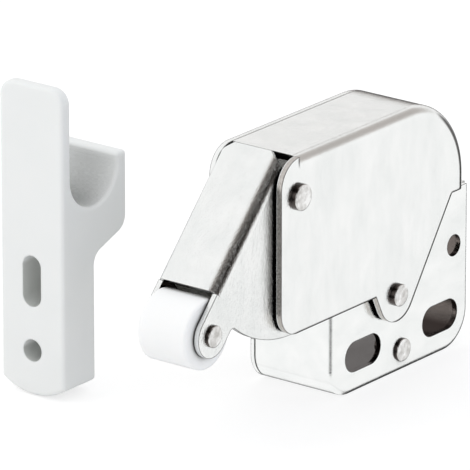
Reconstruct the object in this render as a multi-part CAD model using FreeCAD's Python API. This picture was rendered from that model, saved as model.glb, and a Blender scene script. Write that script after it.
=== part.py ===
import FreeCAD, Part
import math
import os

# Touch latch: a folded steel case on a drawn mounting bracket, a sprung roller arm that swings in and
# out, the heart cam that holds it in, and the moulded strike that the roller pulls.
# Frame: X through the thickness, the face with the rivet heads at +X and the mounting rim at -X;
# -Y towards the door, +Z up. The origin is the middle of the bracket's foot. Millimetres.

V = FreeCAD.Vector

# Mounting bracket, a drawn pan that is open towards the cabinet side
BRACKET_DEPTH = 14.0
BRACKET_LENGTH = 32.0
BRACKET_HEIGHT = 23.6
BRACKET_SHEET = 0.8
BRACKET_BEND = 0.9
RIM_CREASE_FROM_RIM = 0.65
RIM_CREASE_WIDTH = 0.15
RIM_CREASE_DEPTH = 0.12
FRONT_FOOT_RADIUS = 4.25
REAR_FOOT_RADIUS = 5.4
BRACKET_TOP_CORNER = 0.9
FRONT_WALL_GAP = 0.6
FRONT_WALL_SETBACK = 0.6
SETBACK_FROM_Z = 6.5

# Screw slots and the locking hole in the bracket
SLOT_SPACING = 18.0
SLOT_WIDTH = 4.4
SLOT_LENGTH = 8.2
SLOT_CENTRE_FROM_REAR = 15.8
SLOT_Z = 5.35
LOCK_HOLE_RADIUS = 1.55
LOCK_HOLE_FROM_REAR = 3.6
LOCK_HOLE_BELOW_TOP = 8.4

# Case: a drawn shell with a flat cover plate on its open far side
CASE_SHEET = 0.9
COVER_SHEET = 0.8
CASE_BEND = 1.6
CASE_WIDTH = 12.3
CASE_TO_BRACKET = 0.5
CASE_LENGTH = 42.5
CASE_HEIGHT = 25.1
CASE_REAR_SETBACK = 2.8
CASE_ABOVE_BRACKET = 14.9
CASE_STEP_GAP = 0.3
CASE_FRONT_TOP_RADIUS = 4.0
CASE_FRONT_LOW_RADIUS = 3.5
CASE_REAR_TOP_RADIUS = 12.4
CASE_NOTCH_FROM_REAR = 20.8
CASE_LOBE_RADIUS = 3.95
CASE_REAR_SLOPE = 55.4

# Places of the three pins
ARM_AXIS_FROM_FRONT = 4.0
ARM_AXIS_BELOW_TOP = 5.6
CASE_AXIS_FROM_REAR = 15.95
CASE_AXIS_BELOW_EDGE = 0.9
ANCHOR_FROM_REAR = 15.75
ANCHOR_Z = 3.25

# Pins
ARM_PIN_RADIUS = 1.5
ARM_PIN_HEAD_RADIUS = 1.88
CASE_PIN_RADIUS = 1.25
CASE_PIN_HEAD_RADIUS = 1.6
HEAD_HEIGHT = 0.75
PEEN_HEIGHT = 0.6
ANCHOR_RADIUS = 1.2
ANCHOR_HEAD_RADIUS = 1.65
ANCHOR_HEAD_HEIGHT = 0.45
HEAD_EDGE = 0.2
PRESS_CLEARANCE = 0.02
RUNNING_CLEARANCE = 0.06
COLLAR_RADIUS = 2.2

# Roller arm, a U channel that leans forward from its pin
ARM_SHEET = 0.8
ARM_NEAR_BEND = 1.6
ARM_FAR_BEND = 1.0
ARM_NEAR_GAP = 0.4
ARM_FAR_GAP = 0.2
WALL_TILT = 43.0
WALL_OFFSET = 5.92
WALL_ABOVE_AXIS = 3.35
WALL_ABOVE_ROLLER = 4.85
CHEEK_RADIUS = 20.08
CHEEK_REAR_ANGLE = -22.0
CHEEK_EYE_RADIUS = 4.2
CHEEK_SWEEP_CLEARANCE = 1.9
EAR_RADIUS = 3.1
EAR_NOTCH_RADIUS = 0.8
ROLLER_OFFSET = 2.35
ROLLER_BELOW_CHEEK = 3.05
TOP_CORNER_CUT = 1.9
TOP_CORNER_DROP = 1.7
WASHER_RADIUS = 3.0
WASHER_THICKNESS = 0.3

# Roller and its pin
ROLLER_RADIUS = 4.98
ROLLER_SIDE_GAP = 0.15
ROLLER_EDGE = 0.4
ROLLER_PIN_RADIUS = 1.1
ROLLER_PIN_HEAD_RADIUS = 1.55
ROLLER_PIN_HEAD_HEIGHT = 0.5

# Heart cam on the arm and the wire that follows it
CAM_BELOW_CHEEK = 2.35
CAM_OUTER_WALL = 0.83
CAM_INNER_WALL = 1.2
CAM_REAR_ANGLE = -12.0
CAM_FRONT_ANGLE = 63.0
CAM_THICKNESS = 3.85
CAM_FLOOR = 2.0
CAM_WALL_CLEARANCE = 0.1
LANE_SPACING = 3.0
LANE_CLEARANCE = 0.3
HELD_ANGLE = 48.8
OVER_TRAVEL = 5.2
PEG_RADIUS = 1.2
PEG_ANGLES = (14.0, 36.0)
WIRE_DIAMETER = 1.2
WIRE_FACE_GAP = 0.25
WIRE_BEND = 1.0
EYE_WRAP = 290.0

# Sleeves and springs
SPACER_RADIUS = 2.0
ARM_SLEEVE_RADIUS = 2.3
SLEEVE_END_GAP = 0.1
ARM_SPRING_WIRE = 0.9
ARM_SPRING_TURNS = 4
ARM_SPRING_PITCH = 1.0
COIL_CLEARANCE = 0.15
SPRING_REST_GAP = 0.05
FRONT_LEG_BELOW_AXIS = 5.0
REAR_LEG_REACH = 10.0
SMALL_SPRING_WIRE = 0.5
SMALL_SPRING_TURNS = 3
SMALL_SPRING_PITCH = 0.58
SMALL_SPRING_GAP = 0.2
HOOK_REACH = 9.0

# Moulded strike
STRIKE_WIDTH = 11.0
STRIKE_HEIGHT = 45.0
STRIKE_PLATE = 1.95
STRIKE_BODY_DEPTH = 7.1
STRIKE_BODY_TOP = 19.6
STRIKE_HOOK_RISE = 2.6
STRIKE_LIP = 2.05
STRIKE_LIP_TOP = 33.2
STRIKE_KNEE_ROUND = 2.0
STRIKE_HOOK_ROUND = 2.5
STRIKE_EDGE = 0.55
GROOVE_Z = 31.9
GROOVE_CLEARANCE = 0.07
STRIKE_FOOT_SAGITTA = 1.8
STRIKE_TOP_CORNER = 2.3
STRIKE_HOLE_RADIUS = 1.6
STRIKE_HOLE_Z = 6.6
STRIKE_SLOT_LENGTH = 7.4
STRIKE_SLOT_Z = 16.7
STRIKE_NEAR_X = -22.1
STRIKE_FACE_Y = -38.5

# Places worked out from the sizes above
NEAR_FACE_X = BRACKET_DEPTH / 2
RIM_X = -BRACKET_DEPTH / 2
PLATE_INNER_X = NEAR_FACE_X - BRACKET_SHEET
FRONT_Y = -BRACKET_LENGTH / 2
REAR_Y = BRACKET_LENGTH / 2
SLOT_CENTRE_Y = REAR_Y - SLOT_CENTRE_FROM_REAR
LOCK_HOLE_Y = REAR_Y - LOCK_HOLE_FROM_REAR
LOCK_HOLE_Z = BRACKET_HEIGHT - LOCK_HOLE_BELOW_TOP
CASE_NEAR_INNER_X = NEAR_FACE_X + CASE_TO_BRACKET
CASE_NEAR_X = CASE_NEAR_INNER_X + CASE_SHEET
CASE_FAR_X = CASE_NEAR_X - CASE_WIDTH
CASE_FAR_INNER_X = CASE_FAR_X + COVER_SHEET
CASE_REAR_Y = REAR_Y - CASE_REAR_SETBACK
CASE_FRONT_Y = CASE_REAR_Y - CASE_LENGTH
CASE_TOP_Z = BRACKET_HEIGHT + CASE_ABOVE_BRACKET
CASE_BOTTOM_Z = CASE_TOP_Z - CASE_HEIGHT
CASE_STEP_Z = BRACKET_HEIGHT + CASE_STEP_GAP
CASE_NOTCH_Y = CASE_REAR_Y - CASE_NOTCH_FROM_REAR
FRONT_WALL_HEIGHT = CASE_BOTTOM_Z - FRONT_WALL_GAP
ARM_AXIS = (CASE_FRONT_Y + ARM_AXIS_FROM_FRONT, CASE_TOP_Z - ARM_AXIS_BELOW_TOP)
CASE_AXIS = (CASE_REAR_Y - CASE_AXIS_FROM_REAR, CASE_BOTTOM_Z - CASE_AXIS_BELOW_EDGE)
ANCHOR_AXIS = (REAR_Y - ANCHOR_FROM_REAR, ANCHOR_Z)
ARM_NEAR_X = CASE_NEAR_INNER_X - ARM_NEAR_GAP
ARM_FAR_X = CASE_FAR_INNER_X + ARM_FAR_GAP
ARM_NEAR_INNER_X = ARM_NEAR_X - ARM_SHEET
ARM_FAR_INNER_X = ARM_FAR_X + ARM_SHEET
ROLLER_BELOW_AXIS = CHEEK_RADIUS + ROLLER_BELOW_CHEEK
WALL_BELOW_AXIS = ROLLER_BELOW_AXIS - WALL_ABOVE_ROLLER
WIRE_RADIUS = WIRE_DIAMETER / 2
LANE_HALF = WIRE_RADIUS + LANE_CLEARANCE
CAM_OUTER_RADIUS = CHEEK_RADIUS - CAM_BELOW_CHEEK
LANE_OUTER = CAM_OUTER_RADIUS - CAM_OUTER_WALL - LANE_HALF
LANE_INNER = LANE_OUTER - LANE_SPACING
CAM_INNER_RADIUS = LANE_INNER - LANE_HALF - CAM_INNER_WALL
CAM_FACE_X = ARM_FAR_INNER_X + CAM_THICKNESS
CAM_FLOOR_X = ARM_FAR_INNER_X + CAM_FLOOR
WIRE_X = CAM_FACE_X + WIRE_FACE_GAP + WIRE_RADIUS
SIN_TILT = math.sin(math.radians(WALL_TILT))
COS_TILT = math.cos(math.radians(WALL_TILT))
BEYOND = 60.0


def rounded_wire(corners):
    """Closed outline through flat corners; each corner is (point, radius of its rounding)."""
    count = len(corners)
    starts = []
    ends = []
    mids = []
    for i in range(count):
        here, radius = corners[i]
        to_before = (corners[i - 1][0] - here).normalize()
        to_after = (corners[(i + 1) % count][0] - here).normalize()
        half = to_before.getAngle(to_after) / 2
        reach = radius / math.tan(half) if radius else 0.0
        bisector = (to_before + to_after).normalize()
        starts.append(here + to_before * reach)
        ends.append(here + to_after * reach)
        mids.append(here + bisector * (radius / math.sin(half) - radius))
    edges = []
    for i in range(count):
        if corners[i][1]:
            edges.append(Part.Arc(starts[i], mids[i], ends[i]).toShape())
        following = starts[(i + 1) % count]
        if (following - ends[i]).Length > 1e-6:
            edges.append(Part.makeLine(ends[i], following))
    return Part.Wire(edges)


def slab(corners, x_low, x_high):
    """Solid between two X planes; each corner of its outline is (y, z, radius of its rounding)."""
    outline = rounded_wire([(V(x_low, y, z), radius) for y, z, radius in corners])
    return Part.Face(outline).extrude(V(x_high - x_low, 0, 0))


def round_bar(axis, radius, x_low, x_high):
    return Part.makeCylinder(radius, x_high - x_low, V(x_low, axis[0], axis[1]), V(1, 0, 0))


def tube(axis, outer, inner, x_low, x_high):
    return round_bar(axis, outer, x_low, x_high).cut(round_bar(axis, inner, x_low, x_high))


def slot_bar(y, z, width, length, x_low, x_high):
    """Bar of stadium section whose length runs along Y."""
    half_run = (length - width) / 2
    r = width / 2
    box = Part.makeBox(x_high - x_low, 2 * half_run, width, V(x_low, y - half_run, z - r))
    ends = [round_bar((y + side * half_run, z), r, x_low, x_high) for side in (-1, 1)]
    return box.multiFuse(ends).removeSplitter()


def below_arm(radius, angle):
    """Point at a distance from the arm's pin, at an angle forward of straight down."""
    a = math.radians(angle)
    return (ARM_AXIS[0] - radius * math.sin(a), ARM_AXIS[1] - radius * math.cos(a))


def on_wall(offset, along):
    """Point at an offset in front of the arm's pin, square to its wall, and along the wall upwards."""
    y = ARM_AXIS[0] - offset * COS_TILT + along * SIN_TILT
    z = ARM_AXIS[1] + offset * SIN_TILT + along * COS_TILT
    return (y, z)


def headed(shape, edge_planes):
    """Rounds the circular rims of rivet heads that lie in the given X planes."""
    rims = []
    for edge in shape.Edges:
        box = edge.BoundBox
        flat = box.XLength < 1e-6
        if flat and any(abs(box.XMin - x) < 1e-6 for x in edge_planes):
            rims.append(edge)
    return shape.makeFillet(HEAD_EDGE, rims)


def edges_in_plane(shape, x, inside):
    """Edges that lie in the plane X = x and whose centre passes a test on (y, z)."""
    found = []
    for edge in shape.Edges:
        box = edge.BoundBox
        if box.XLength < 1e-6 and abs(box.XMin - x) < 1e-6 and inside(box.Center.y, box.Center.z):
            found.append(edge)
    return found


def pan_corners(inset, top):
    """Outline of the bracket's pan, drawn in by an inset, up to a height."""
    return [
        (FRONT_Y + inset, inset, FRONT_FOOT_RADIUS - inset),
        (REAR_Y - inset, inset, REAR_FOOT_RADIUS - inset),
        (REAR_Y - inset, top, 0),
        (FRONT_Y + inset, top, 0),
    ]


def make_bracket():
    body = slab(pan_corners(0, BRACKET_HEIGHT), RIM_X, NEAR_FACE_X)
    rim = edges_in_plane(body, NEAR_FACE_X, lambda y, z: z < BRACKET_HEIGHT - 1e-3)
    body = body.makeFillet(BRACKET_BEND, rim)
    cavity = slab(pan_corners(BRACKET_SHEET, BEYOND), RIM_X - 1, PLATE_INNER_X)
    inner_rim = edges_in_plane(cavity, PLATE_INNER_X, lambda y, z: z < BEYOND - 1e-3)
    body = body.cut(cavity.makeFillet(BRACKET_BEND - BRACKET_SHEET, inner_rim))

    # a shallow crease runs round the walls beside the rim
    crease_x = RIM_X + RIM_CREASE_FROM_RIM
    crease = slab(pan_corners(-1, BEYOND), crease_x, crease_x + RIM_CREASE_WIDTH).cut(
        slab(pan_corners(RIM_CREASE_DEPTH, BEYOND), crease_x, crease_x + RIM_CREASE_WIDTH))

    # the front wall is lower than the plate, and the plate leaves the arm's sweep free
    sweep = round_bar(ARM_AXIS, CHEEK_RADIUS + CHEEK_SWEEP_CLEARANCE, RIM_X - 1, NEAR_FACE_X + 1)
    above_wall = Part.makeBox(
        BRACKET_DEPTH + 2, BRACKET_SHEET + 1, BEYOND, V(RIM_X - 1, FRONT_Y - 1, FRONT_WALL_HEIGHT))
    setback = Part.makeBox(
        FRONT_WALL_SETBACK + 1, FRONT_FOOT_RADIUS, BEYOND, V(RIM_X - 1, FRONT_Y - 1, SETBACK_FROM_Z))
    r = BRACKET_TOP_CORNER
    corner = Part.makeBox(BRACKET_SHEET + 1, r + 1, r + 1, V(PLATE_INNER_X, REAR_Y - r, BRACKET_HEIGHT - r))
    corner = corner.cut(round_bar((REAR_Y - r, BRACKET_HEIGHT - r), r, PLATE_INNER_X - 1, NEAR_FACE_X + 2))

    x_low = PLATE_INNER_X - 1
    x_high = NEAR_FACE_X + 1
    holes = [
        slot_bar(SLOT_CENTRE_Y + side * SLOT_SPACING / 2, SLOT_Z, SLOT_WIDTH, SLOT_LENGTH, x_low, x_high)
        for side in (-1, 1)
    ]
    holes.append(round_bar((LOCK_HOLE_Y, LOCK_HOLE_Z), LOCK_HOLE_RADIUS, x_low, x_high))
    holes.append(round_bar(CASE_AXIS, CASE_PIN_RADIUS + PRESS_CLEARANCE, x_low, x_high))
    holes.append(round_bar(ANCHOR_AXIS, ANCHOR_RADIUS + PRESS_CLEARANCE, x_low, x_high))
    return body.cut([crease, sweep, above_wall, setback, corner] + holes)


def case_corners():
    """Side outline of the case: square front, round rear shoulder and a lobe round the lower rivet."""
    slope = math.radians(CASE_REAR_SLOPE)
    along = (math.cos(slope), math.sin(slope))
    # the rear slope touches the lobe's circle on its lower rear side
    touch = (CASE_AXIS[0] + CASE_LOBE_RADIUS * along[1], CASE_AXIS[1] - CASE_LOBE_RADIUS * along[0])
    step_run = (CASE_STEP_Z - touch[1]) / along[1]
    step = (touch[0] + step_run * along[0], CASE_STEP_Z)
    # the line from the notch touches the same circle on its lower front side
    to_axis = (CASE_AXIS[0] - CASE_NOTCH_Y, CASE_AXIS[1] - CASE_BOTTOM_Z)
    distance = math.hypot(to_axis[0], to_axis[1])
    heading = math.atan2(to_axis[1], to_axis[0]) - math.asin(CASE_LOBE_RADIUS / distance)
    # both lines meet at the corner that the lobe rounds off
    det = math.cos(heading) * along[1] - math.sin(heading) * along[0]
    run = ((touch[0] - CASE_NOTCH_Y) * along[1] - (touch[1] - CASE_BOTTOM_Z) * along[0]) / det
    lobe = (CASE_NOTCH_Y + run * math.cos(heading), CASE_BOTTOM_Z + run * math.sin(heading))
    return [
        (CASE_FRONT_Y, CASE_TOP_Z, CASE_FRONT_TOP_RADIUS),
        (CASE_FRONT_Y, CASE_BOTTOM_Z, CASE_FRONT_LOW_RADIUS),
        (CASE_NOTCH_Y, CASE_BOTTOM_Z, 0),
        (lobe[0], lobe[1], CASE_LOBE_RADIUS),
        (step[0], step[1], 0),
        (CASE_REAR_Y, CASE_STEP_Z, 0),
        (CASE_REAR_Y, CASE_TOP_Z, CASE_REAR_TOP_RADIUS),
    ]


def case_holes():
    return [
        round_bar(ARM_AXIS, ARM_PIN_RADIUS + PRESS_CLEARANCE, CASE_FAR_X - 1, CASE_NEAR_X + 1),
        round_bar(CASE_AXIS, CASE_PIN_RADIUS + PRESS_CLEARANCE, CASE_FAR_X - 1, CASE_NEAR_X + 1),
    ]


def roof_band(inset, depth, x_low, x_high):
    """Strip that follows the case's top and rear, from the roof's front edge to the step."""
    front = CASE_FRONT_Y + CASE_FRONT_TOP_RADIUS
    r = CASE_REAR_TOP_RADIUS
    return slab([
        (front, CASE_TOP_Z - inset, 0),
        (CASE_REAR_Y - inset, CASE_TOP_Z - inset, r - inset),
        (CASE_REAR_Y - inset, CASE_STEP_Z, 0),
        (CASE_REAR_Y - depth, CASE_STEP_Z, 0),
        (CASE_REAR_Y - depth, CASE_TOP_Z - depth, r - depth),
        (front, CASE_TOP_Z - depth, 0),
    ], x_low, x_high)


def path_edges(shape, x, inset):
    """Edges of a strip, in the plane X = x, that lie on the case's outline drawn in by an inset."""
    shoulder_y = CASE_REAR_Y - CASE_REAR_TOP_RADIUS
    shoulder_z = CASE_TOP_Z - CASE_REAR_TOP_RADIUS
    found = []
    for edge in edges_in_plane(shape, x, lambda y, z: True):
        middle = edge.valueAt((edge.FirstParameter + edge.LastParameter) / 2)
        reach = math.hypot(middle.y - shoulder_y, middle.z - shoulder_z)
        on_roof = abs(middle.z - (CASE_TOP_Z - inset)) < 1e-3
        on_rear = abs(middle.y - (CASE_REAR_Y - inset)) < 1e-3
        on_arc = abs(reach - (CASE_REAR_TOP_RADIUS - inset)) < 1e-3
        if on_roof or on_rear or on_arc:
            found.append(edge)
    return found


def make_case():
    """Drawn shell: the near plate, and the roof and rear wall that are drawn over from it."""
    t = CASE_SHEET
    band = CASE_BEND + t
    cap = roof_band(0, band, CASE_FAR_INNER_X, CASE_NEAR_X)
    cap_round = cap.makeFillet(CASE_BEND, path_edges(cap, CASE_NEAR_X, 0))
    hollow = roof_band(t, band + 1, CASE_FAR_INNER_X - 1, CASE_NEAR_INNER_X)
    hollow = hollow.makeFillet(CASE_BEND - t, path_edges(hollow, CASE_NEAR_INNER_X, t))
    plate = slab(case_corners(), CASE_NEAR_INNER_X, CASE_NEAR_X).cut(cap)
    shell = cap_round.cut(hollow).fuse(plate).removeSplitter()
    return shell.cut(case_holes())


def make_cover():
    """Flat plate that closes the shell's open far side; the two rivets hold it."""
    return slab(case_corners(), CASE_FAR_X, CASE_FAR_INNER_X).cut(case_holes())


def wall_channel():
    """Front wall of the arm with its two bends, drawn square to the wall and run along it."""
    run = V(0, SIN_TILT, COS_TILT) * (WALL_ABOVE_AXIS + WALL_BELOW_AXIS)
    open_end = WALL_OFFSET - ARM_NEAR_BEND

    def channel(inset, x_far, x_near, depth):
        corners = [
            (x_far, depth, 0),
            (x_far, WALL_OFFSET - inset, ARM_FAR_BEND - inset),
            (x_near, WALL_OFFSET - inset, ARM_NEAR_BEND - inset),
            (x_near, depth, 0),
        ]
        placed = [(V(x, *on_wall(offset, -WALL_BELOW_AXIS)), radius) for x, offset, radius in corners]
        return Part.Face(rounded_wire(placed)).extrude(run)

    wall = channel(0, ARM_FAR_X, ARM_NEAR_X, open_end).cut(
        channel(ARM_SHEET, ARM_FAR_INNER_X, ARM_NEAR_INNER_X, open_end - 1))

    # the wall's top corners are cut back across the bends
    low = on_wall(WALL_OFFSET + 1, WALL_ABOVE_AXIS - TOP_CORNER_DROP)
    for x, sign in ((ARM_NEAR_X, -1), (ARM_FAR_X, 1)):
        top = WALL_ABOVE_AXIS + 1
        slant = TOP_CORNER_CUT * (TOP_CORNER_DROP + 1) / TOP_CORNER_DROP
        base_y, base_z = low
        up = V(0, SIN_TILT, COS_TILT)
        a = V(x - sign, base_y, base_z) - up * (TOP_CORNER_DROP / TOP_CORNER_CUT)
        b = V(x + sign * slant, base_y, base_z) + up * (TOP_CORNER_DROP + 1)
        c = V(x - sign, base_y, base_z) + up * (TOP_CORNER_DROP + 1)
        tri = Part.Face(Part.makePolygon([a, b, c, a]))
        wall = wall.cut(tri.extrude(V(0, COS_TILT, -SIN_TILT) * (ARM_NEAR_BEND + 2)))
    return wall


def cheek_slab(x_low, x_high):
    """Side cheek of the arm: eye round the pin, sector over the cam and ear for the roller pin."""
    bend_line = WALL_OFFSET - ARM_NEAR_BEND
    sector = [
        (ARM_AXIS[0], ARM_AXIS[1], 0),
        below_arm(BEYOND, CHEEK_REAR_ANGLE) + (0,),
        below_arm(BEYOND, WALL_TILT / 2) + (0,),
        below_arm(BEYOND, WALL_TILT + 40) + (0,),
        on_wall(bend_line, 0) + (0,),
    ]
    cheek = slab(sector, x_low, x_high).common(round_bar(ARM_AXIS, CHEEK_RADIUS, x_low, x_high))
    in_front = [
        on_wall(bend_line, BEYOND) + (0,),
        on_wall(BEYOND, BEYOND) + (0,),
        on_wall(BEYOND, -BEYOND) + (0,),
        on_wall(bend_line, -BEYOND) + (0,),
    ]
    below_wall = [
        on_wall(-BEYOND, -WALL_BELOW_AXIS) + (0,),
        on_wall(bend_line, -WALL_BELOW_AXIS) + (0,),
        on_wall(bend_line, -BEYOND) + (0,),
        on_wall(-BEYOND, -BEYOND) + (0,),
    ]
    cheek = cheek.cut(slab(in_front, x_low, x_high))
    eye = round_bar(ARM_AXIS, CHEEK_EYE_RADIUS, x_low, x_high)
    ear_low = ROLLER_OFFSET - EAR_RADIUS
    ear_high = ROLLER_OFFSET + EAR_RADIUS
    ear_root = [
        on_wall(ear_low, -ROLLER_BELOW_AXIS) + (0,),
        on_wall(ear_high, -ROLLER_BELOW_AXIS) + (0,),
        on_wall(ear_high, -WALL_BELOW_AXIS) + (0,),
        on_wall(bend_line, -WALL_BELOW_AXIS) + (0,),
        on_wall(bend_line, -WALL_BELOW_AXIS + EAR_RADIUS) + (0,),
        on_wall(ear_low, -WALL_BELOW_AXIS + EAR_RADIUS) + (0,),
    ]
    ear = slab(ear_root, x_low, x_high)
    tip = round_bar(on_wall(ROLLER_OFFSET, -ROLLER_BELOW_AXIS), EAR_RADIUS, x_low, x_high)
    cheek = cheek.multiFuse([eye, ear, tip]).removeSplitter()

    # the ear's rear edge runs into the sector's arc with a rounded notch
    arc_along = -math.sqrt(CHEEK_RADIUS ** 2 - ear_low ** 2)
    notch = on_wall(ear_low, arc_along)
    notch_edges = []
    for edge in cheek.Edges:
        box = edge.BoundBox
        straight = box.YLength < 1e-6 and box.ZLength < 1e-6
        if straight and math.hypot(box.Center.y - notch[0], box.Center.z - notch[1]) < 1e-2:
            notch_edges.append(edge)
    return cheek.makeFillet(EAR_NOTCH_RADIUS, notch_edges)


def wire_reach():
    """Distance from the wire's hinge to its tip."""
    tip = below_arm(LANE_OUTER, 0)
    return math.hypot(tip[0] - CASE_AXIS[0], tip[1] - CASE_AXIS[1])


def hinge_place(angle):
    """Distance and angle of the wire's hinge as seen from the arm turned by an angle."""
    dy = CASE_AXIS[0] - ARM_AXIS[0]
    dz = CASE_AXIS[1] - ARM_AXIS[1]
    return math.hypot(dy, dz), math.degrees(math.atan2(-dy, -dz)) + angle


def tip_angle(radius):
    """Angle about the arm's pin of the wire's tip when the tip is at a distance from that pin."""
    hinge_distance, hinge_angle = hinge_place(0)
    reach = wire_reach()
    cosine = (hinge_distance ** 2 + radius ** 2 - reach ** 2) / (2 * hinge_distance * radius)
    return hinge_angle + math.degrees(math.acos(cosine))


def peg_places():
    middle = (LANE_INNER + LANE_OUTER) / 2
    return [below_arm(middle, angle) for angle in PEG_ANGLES]


def make_arm():
    near = cheek_slab(ARM_NEAR_INNER_X, ARM_NEAR_X)
    far = cheek_slab(ARM_FAR_X, ARM_FAR_INNER_X)
    arm = wall_channel().multiFuse([near, far]).removeSplitter()
    x_low = ARM_FAR_X - 1
    x_high = ARM_NEAR_X + 1
    holes = [
        round_bar(ARM_AXIS, ARM_PIN_RADIUS + RUNNING_CLEARANCE, x_low, x_high),
        round_bar(on_wall(ROLLER_OFFSET, -ROLLER_BELOW_AXIS), ROLLER_PIN_RADIUS + PRESS_CLEARANCE,
                  x_low, x_high),
    ]
    for place in peg_places():
        holes.append(round_bar(place, PEG_RADIUS + PRESS_CLEARANCE, x_low, ARM_FAR_INNER_X + 0.5))
    return arm.cut(holes)


def make_roller():
    axis = on_wall(ROLLER_OFFSET, -ROLLER_BELOW_AXIS)
    x_low = ARM_FAR_INNER_X + ROLLER_SIDE_GAP
    x_high = ARM_NEAR_INNER_X - ROLLER_SIDE_GAP
    roller = round_bar(axis, ROLLER_RADIUS, x_low, x_high)
    rims = [e for e in roller.Edges if e.BoundBox.XLength < 1e-6]
    roller = roller.makeFillet(ROLLER_EDGE, rims)
    return roller.cut(round_bar(axis, ROLLER_PIN_RADIUS + RUNNING_CLEARANCE, x_low - 1, x_high + 1))


def make_roller_pin():
    axis = on_wall(ROLLER_OFFSET, -ROLLER_BELOW_AXIS)
    near_end = ARM_NEAR_X + ROLLER_PIN_HEAD_HEIGHT
    pin = round_bar(axis, ROLLER_PIN_RADIUS, ARM_FAR_X, ARM_NEAR_X)
    head = round_bar(axis, ROLLER_PIN_HEAD_RADIUS, ARM_NEAR_X, near_end)
    return headed(pin.fuse(head), (near_end,))


def make_arm_pin():
    near_end = CASE_NEAR_X + HEAD_HEIGHT
    far_end = CASE_FAR_X - PEEN_HEIGHT
    shank = round_bar(ARM_AXIS, ARM_PIN_RADIUS, CASE_FAR_X, CASE_NEAR_X)
    head = round_bar(ARM_AXIS, ARM_PIN_HEAD_RADIUS, CASE_NEAR_X, near_end)
    peen = round_bar(ARM_AXIS, ARM_PIN_HEAD_RADIUS, far_end, CASE_FAR_X)
    return headed(shank.multiFuse([head, peen]), (near_end, far_end))


def make_case_pin():
    near_end = CASE_NEAR_X + HEAD_HEIGHT
    far_end = CASE_FAR_X - PEEN_HEIGHT
    shank = round_bar(CASE_AXIS, CASE_PIN_RADIUS, CASE_FAR_X, CASE_NEAR_X)
    head = round_bar(CASE_AXIS, CASE_PIN_HEAD_RADIUS, CASE_NEAR_X, near_end)
    peen = round_bar(CASE_AXIS, CASE_PIN_HEAD_RADIUS, far_end, CASE_FAR_X)
    return headed(shank.multiFuse([head, peen]), (near_end, far_end))


def make_collar():
    inner = CASE_PIN_RADIUS + PRESS_CLEARANCE
    return tube(CASE_AXIS, COLLAR_RADIUS, inner, NEAR_FACE_X, CASE_NEAR_INNER_X)


def make_spacer():
    inner = CASE_PIN_RADIUS + PRESS_CLEARANCE
    return tube(CASE_AXIS, SPACER_RADIUS, inner, CASE_FAR_INNER_X, PLATE_INNER_X)


def make_washer():
    inner = ARM_PIN_RADIUS + PRESS_CLEARANCE
    return tube(ARM_AXIS, WASHER_RADIUS, inner, CASE_NEAR_INNER_X - WASHER_THICKNESS, CASE_NEAR_INNER_X)


def make_arm_sleeve():
    inner = ARM_PIN_RADIUS + PRESS_CLEARANCE
    x_low = ARM_FAR_INNER_X + SLEEVE_END_GAP
    x_high = ARM_NEAR_INNER_X - SLEEVE_END_GAP
    return tube(ARM_AXIS, ARM_SLEEVE_RADIUS, inner, x_low, x_high)


def small_spring_x():
    """X planes of the first and last turn of the small spring, beside the wire's eye."""
    low = WIRE_X + WIRE_RADIUS + SMALL_SPRING_GAP + SMALL_SPRING_WIRE / 2
    return low, low + SMALL_SPRING_TURNS * SMALL_SPRING_PITCH


def make_anchor():
    near_end = NEAR_FACE_X + ANCHOR_HEAD_HEIGHT
    tail = small_spring_x()[0] - SMALL_SPRING_WIRE
    shank = round_bar(ANCHOR_AXIS, ANCHOR_RADIUS, tail, NEAR_FACE_X)
    head = round_bar(ANCHOR_AXIS, ANCHOR_HEAD_RADIUS, NEAR_FACE_X, near_end)
    return headed(shank.fuse(head), (near_end,))


def angle_wedge(start, end, x_low, x_high):
    """Sector of space about the arm's pin between two angles, for less than half a turn."""
    middle = (start + end) / 2
    corners = [
        ARM_AXIS + (0,),
        below_arm(BEYOND, start) + (0,),
        below_arm(BEYOND * 1.3, middle) + (0,),
        below_arm(BEYOND, end) + (0,),
    ]
    return slab(corners, x_low, x_high)


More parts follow.
